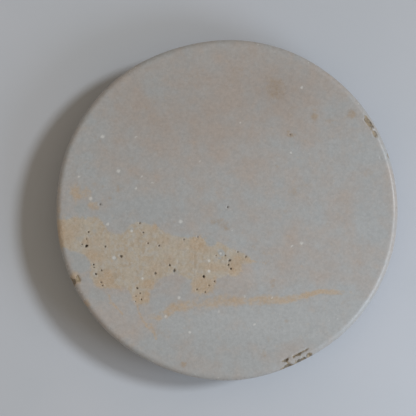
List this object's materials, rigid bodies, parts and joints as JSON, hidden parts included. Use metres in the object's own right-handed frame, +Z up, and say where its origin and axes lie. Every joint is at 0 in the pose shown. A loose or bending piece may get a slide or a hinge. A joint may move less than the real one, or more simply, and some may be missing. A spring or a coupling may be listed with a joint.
{
  "type": "chakla rolling board",
  "caption": "Round stone board for rolling out flatbread, with eased edges, standing on short turned stone feet bedded in sockets with adhesive.",
  "frame": {"origin": "on the slab's axis, in the plane of the table that the three feet stand on", "axes": "+Z up out of the rolling face; +Y towards the rear foot, which is the top of the board as it leans in the picture; +X to the picture's right"},
  "size_m": [0.254, 0.254, 0.038],
  "materials": {
    "slab_marble": "honed warm grey marble with a cream and rust inclusion, edge polished by use",
    "foot_marble": "honed pale grey marble",
    "stone_adhesive": "cured cream polyester stone adhesive"
  },
  "bodies": {
    "root": {"slab": "slab_marble", "rear_foot": "foot_marble", "left_foot": "foot_marble", "right_foot": "foot_marble", "rear_adhesive": "stone_adhesive", "left_adhesive": "stone_adhesive", "right_adhesive": "stone_adhesive"}
  },
  "joints": []
}
